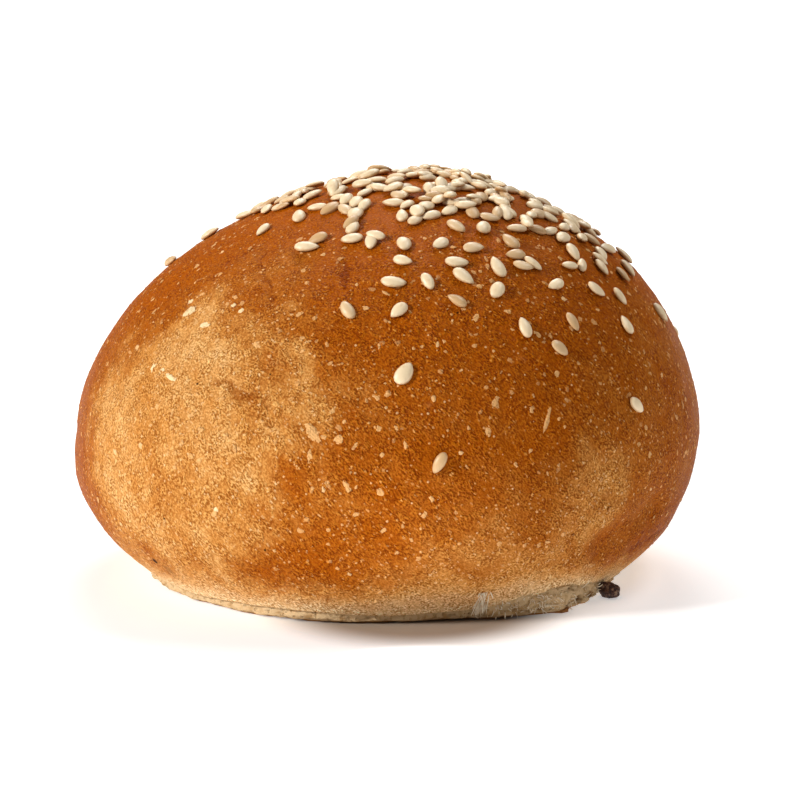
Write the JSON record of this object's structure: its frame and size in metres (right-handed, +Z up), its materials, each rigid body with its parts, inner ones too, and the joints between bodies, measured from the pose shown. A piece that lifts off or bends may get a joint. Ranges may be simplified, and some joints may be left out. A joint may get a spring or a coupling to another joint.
{
  "type": "hamburger bun",
  "caption": "Whole uncut hamburger bun: a tall, rounded baked dome with a golden crust, sesame seeds on its crown and a flat sole with a torn pale rim.",
  "frame": {"origin": "middle of the bun's flat sole, on the table", "axes": "+Z up out of the crown, -Y towards the side that the picture shows, +X to the right as seen from there"},
  "size_m": [0.0904, 0.0896, 0.0579],
  "materials": {
    "crust": "baked golden-brown crust, slightly glossy on the crown and finely grained, paler at the foot",
    "seeds": "ivory sesame seeds with tan tips, satin",
    "crumb": "pale torn bread crumb, matt and fibrous",
    "scorch": "burnt crumb, dark brown and rough"
  },
  "bodies": {
    "root": {"bun": "crust"}
  },
  "joints": []
}
